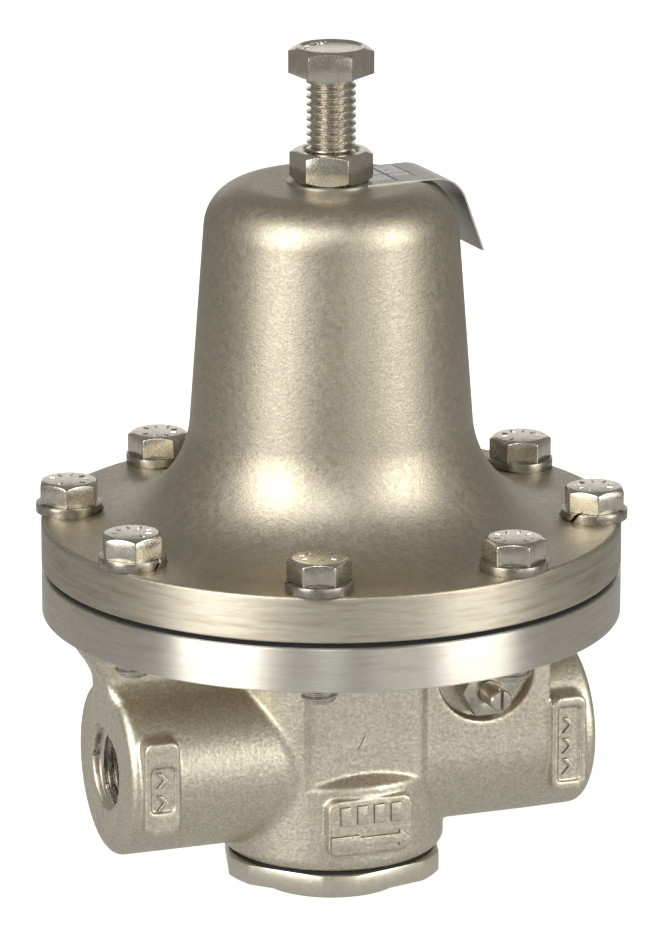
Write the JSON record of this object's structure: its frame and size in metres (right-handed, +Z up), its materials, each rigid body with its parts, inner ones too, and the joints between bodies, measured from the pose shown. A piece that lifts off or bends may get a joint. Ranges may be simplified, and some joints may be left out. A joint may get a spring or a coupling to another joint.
{
  "type": "pressure reducing valve",
  "caption": "Direct-operated pressure reducing valve with threaded inlet and outlet, a flanged bell bonnet, an adjusting screw on top and a spring-loaded diaphragm and plug inside.",
  "frame": {"origin": "centre of the lower face of the bottom cap", "axes": "+Z up along the valve's axis, +X along the flow to the outlet port, -Y to the front with the flow arrow"},
  "size_m": [0.1502, 0.1502, 0.2223],
  "materials": {
    "cast_body": "bead-blasted cast stainless steel, machined at the flange rim and port faces",
    "cast_bonnet": "satin cast stainless steel, machined at the flange rim",
    "machined_steel": "turned stainless steel",
    "bolt_steel": "bright stainless steel",
    "washer_steel": "stainless spring washer",
    "screw_steel": "bright stainless steel",
    "tag_steel": "thin satin sheet with etched lines",
    "spring_steel": "wound spring wire",
    "gasket_fibre": "dark compressed gasket sheet",
    "diaphragm_rubber": "black reinforced rubber",
    "seat_plastic": "white seat plastic"
  },
  "bodies": {
    "housing": {"valve_body": "cast_body", "bonnet": "cast_bonnet", "bottom_cap": "machined_steel", "cap_gasket": "gasket_fibre", "seat_ring": "machined_steel", "guide_bushing": "machined_steel", "diaphragm_gasket": "gasket_fibre", "diaphragm_lower_ply": "diaphragm_rubber", "diaphragm_upper_ply": "diaphragm_rubber", "flange_bolts": "bolt_steel", "lock_washers": "washer_steel", "sensing_lock_nut": "screw_steel", "return_spring": "spring_steel"},
    "spring_button_body": {"spring_button": "machined_steel"},
    "adjusting_screw_body": {"adjusting_screw": "screw_steel"},
    "jam_nut_body": {"jam_nut": "screw_steel"},
    "name_tag_body": {"name_tag": "tag_steel"},
    "plug_train": {"pressure_plate": "machined_steel", "diaphragm_washer": "machined_steel", "stem": "machined_steel", "stem_washer": "machined_steel", "stem_nut": "bolt_steel", "stem_end_nut": "bolt_steel", "plug_holder": "machined_steel", "seat_disc": "seat_plastic", "disc_retainer": "machined_steel", "range_spring": "spring_steel"},
    "sensing_screw_body": {"sensing_screw": "screw_steel"}
  },
  "joints": [
    {"name": "adjust_travel", "type": "slide", "parent": "housing", "child": "spring_button_body", "axis": [0, 0, 1], "range_m": [-0.01367, 0.00195], "deforming": ["range_spring"]},
    {"name": "adjust_turn", "type": "hinge", "parent": "spring_button_body", "child": "adjusting_screw_body", "pos_m": [0, 0, 0.2], "axis": [0, 0, 1], "range_deg": [-2520, 360]},
    {"name": "jam_nut_turn", "type": "hinge", "parent": "housing", "child": "jam_nut_body", "pos_m": [0, 0, 0.192], "axis": [0, 0, 1], "range_deg": [0, 360]},
    {"name": "tag_swivel", "type": "hinge", "parent": "housing", "child": "name_tag_body", "pos_m": [0, 0, 0.1872], "axis": [0, 0, 1], "continuous": true},
    {"name": "valve_stroke", "type": "slide", "parent": "housing", "child": "plug_train", "axis": [0, 0, 1], "range_m": [-0.003, 0], "stiffness_N_per_m": 3000, "springref_m": 0.006, "deforming": ["return_spring", "diaphragm_lower_ply", "diaphragm_upper_ply"]},
    {"name": "sensing_screw_turn", "type": "hinge", "parent": "housing", "child": "sensing_screw_body", "pos_m": [0.0345, -0.02, 0.054], "axis": [0, -1, 0], "range_deg": [-360, 360]}
  ],
  "couplings": [
    {"joint": "adjust_turn", "follows": "adjust_travel", "rad_per_m": 3215.6}
  ]
}
